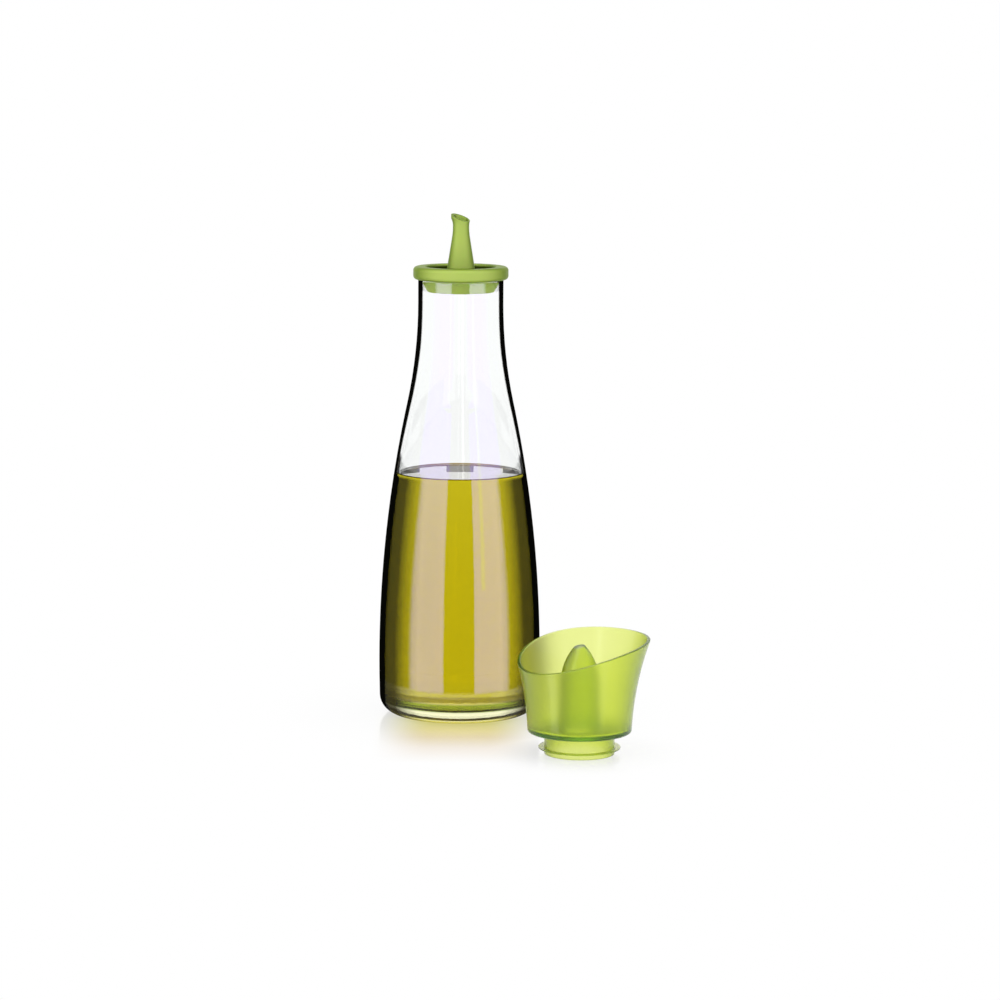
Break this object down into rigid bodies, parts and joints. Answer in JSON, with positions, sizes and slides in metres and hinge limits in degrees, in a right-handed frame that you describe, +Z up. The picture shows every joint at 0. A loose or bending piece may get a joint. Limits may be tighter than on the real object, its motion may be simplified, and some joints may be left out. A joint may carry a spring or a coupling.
{
  "type": "oil cruet",
  "caption": "Tall clear glass oil bottle with a green pouring spout in its neck, part filled, beside its green cup-shaped cap.",
  "frame": {"origin": "centre of the bottle's base, on the surface that it stands on", "axes": "+Z up along the bottle's axis; +X to the side on which the cap stands, and -Y towards the cap's side of the bottle"},
  "size_m": [0.123, 0.1562, 0.2332],
  "materials": {
    "clear_glass": "polished",
    "oil": "clear liquid",
    "frosted_green_plastic": "frosted, translucent",
    "clear_green_plastic": "polished, see-through"
  },
  "bodies": {
    "root": {"bottle": "clear_glass", "oil": "oil", "pourer": "frosted_green_plastic", "cap": "clear_green_plastic"}
  },
  "joints": []
}
